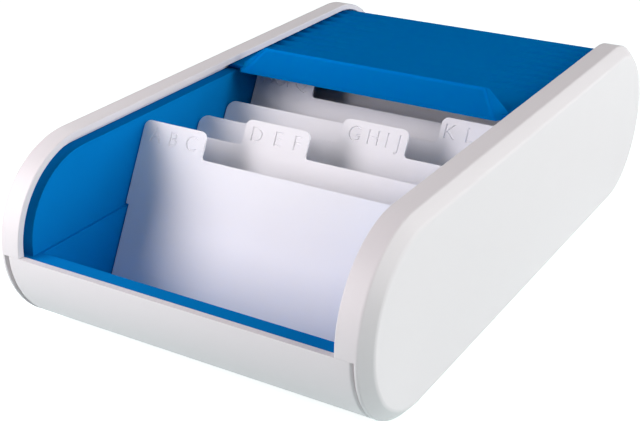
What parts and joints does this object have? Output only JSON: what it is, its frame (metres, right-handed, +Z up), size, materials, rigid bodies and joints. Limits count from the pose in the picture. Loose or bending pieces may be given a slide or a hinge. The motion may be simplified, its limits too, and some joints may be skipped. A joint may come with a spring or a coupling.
{
  "type": "business card box",
  "caption": "Desk-top business card box with a ribbed roll cover, stadium-shaped sides, a moulded tray and tabbed index dividers that lean back in it.",
  "frame": {"origin": "middle of the footprint, on the desk", "axes": "+Z up, +Y to the rear (the side the cover opens towards), +X to the right seen from the front"},
  "size_m": [0.141, 0.242, 0.0721],
  "materials": {
    "white_plastic": "smooth satin white moulding",
    "blue_plastic": "smooth satin blue moulding",
    "frosted_plastic": "frosted translucent sheet"
  },
  "bodies": {
    "box": {"base_shell": "white_plastic", "left_panel": "white_plastic", "right_panel": "white_plastic", "inner_tray": "blue_plastic", "roll_cover": "blue_plastic"},
    "cover": {"cover_lip": "blue_plastic"},
    "divider_abc": {"divider_abc": "frosted_plastic"},
    "divider_def": {"divider_def": "frosted_plastic"},
    "divider_ghij": {"divider_ghij": "frosted_plastic"},
    "divider_klm": {"divider_klm": "frosted_plastic"},
    "divider_nopq": {"divider_nopq": "frosted_plastic"},
    "divider_rst": {"divider_rst": "frosted_plastic"},
    "divider_uvw": {"divider_uvw": "frosted_plastic"},
    "divider_xyz": {"divider_xyz": "frosted_plastic"}
  },
  "joints": [
    {"name": "cover_slide", "type": "slide", "parent": "box", "child": "cover", "axis": [0, 1, 0], "range_m": [-0.08, 0.058], "deforming": ["roll_cover"]},
    {"name": "divider_abc_tilt", "type": "hinge", "parent": "box", "child": "divider_abc", "pos_m": [0, -0.0827, 0.0073], "axis": [1, 0, 0], "range_deg": [0, 55]},
    {"name": "divider_def_tilt", "type": "hinge", "parent": "box", "child": "divider_def", "pos_m": [0, -0.0643, 0.0073], "axis": [1, 0, 0], "range_deg": [0, 13]},
    {"name": "divider_ghij_tilt", "type": "hinge", "parent": "box", "child": "divider_ghij", "pos_m": [0, -0.0459, 0.0073], "axis": [1, 0, 0], "range_deg": [0, 13]},
    {"name": "divider_klm_tilt", "type": "hinge", "parent": "box", "child": "divider_klm", "pos_m": [0, -0.0275, 0.0073], "axis": [1, 0, 0], "range_deg": [0, 13]},
    {"name": "divider_nopq_tilt", "type": "hinge", "parent": "box", "child": "divider_nopq", "pos_m": [0, -0.0091, 0.0073], "axis": [1, 0, 0], "range_deg": [0, 4]},
    {"name": "divider_rst_tilt", "type": "hinge", "parent": "box", "child": "divider_rst", "pos_m": [0, 0.0093, 0.0073], "axis": [1, 0, 0], "range_deg": [0, 4]},
    {"name": "divider_uvw_tilt", "type": "hinge", "parent": "box", "child": "divider_uvw", "pos_m": [0, 0.0277, 0.0073], "axis": [1, 0, 0], "range_deg": [0, 4]},
    {"name": "divider_xyz_tilt", "type": "hinge", "parent": "box", "child": "divider_xyz", "pos_m": [0, 0.0461, 0.0073], "axis": [1, 0, 0], "range_deg": [0, 4]}
  ]
}
